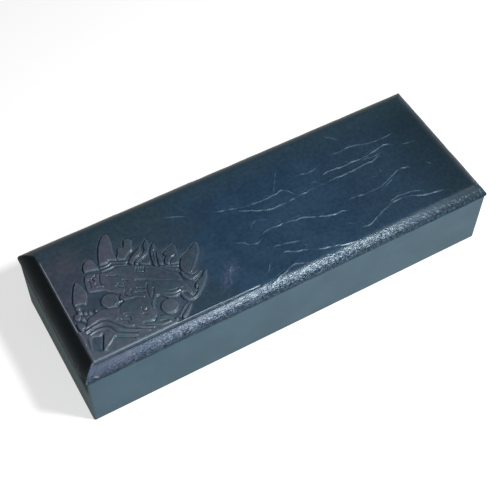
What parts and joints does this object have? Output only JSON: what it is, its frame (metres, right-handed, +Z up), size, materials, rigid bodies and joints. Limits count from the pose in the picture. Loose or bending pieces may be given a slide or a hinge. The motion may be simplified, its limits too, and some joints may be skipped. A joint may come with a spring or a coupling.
{
  "type": "pen case",
  "caption": "Low rectangular pen case: a leather-covered wooden box with a velvet-lined well and a bevelled, embossed lid hinged along its back.",
  "frame": {"origin": "middle of the flat underside, on the surface that the case stands on", "axes": "+X along the case's length, from the embossed end; +Y from the front side to the hinged side; +Z up"},
  "size_m": [0.2212, 0.0797, 0.0405],
  "materials": {
    "lid_leather": "satin, embossed and creased",
    "body_leather": "satin, fine grain",
    "base_leather": "matt",
    "velvet": "short pile",
    "wood": "planed",
    "brass": "aged",
    "steel": "brushed"
  },
  "bodies": {
    "body": {"base_board": "wood", "front_wall": "wood", "back_wall": "wood", "left_wall": "wood", "right_wall": "wood", "side_leather": "body_leather", "base_sheet": "base_leather", "floor_lining": "velvet", "front_lining": "velvet", "back_lining": "velvet", "left_lining": "velvet", "right_lining": "velvet", "left_hinge_body_leaf": "brass", "left_hinge_pin": "steel", "right_hinge_body_leaf": "brass", "right_hinge_pin": "steel", "body_hinge_screws": "steel"},
    "lid": {"lid_board": "wood", "lid_leather": "lid_leather", "lid_panel": "wood", "lid_lining": "velvet", "left_hinge_lid_leaf": "brass", "right_hinge_lid_leaf": "brass", "lid_hinge_screws": "steel"}
  },
  "joints": [
    {"name": "lid_hinge", "type": "hinge", "parent": "body", "child": "lid", "pos_m": [0, 0.03865, 0.035], "axis": [-1, 0, 0], "range_deg": [0, 95]}
  ]
}
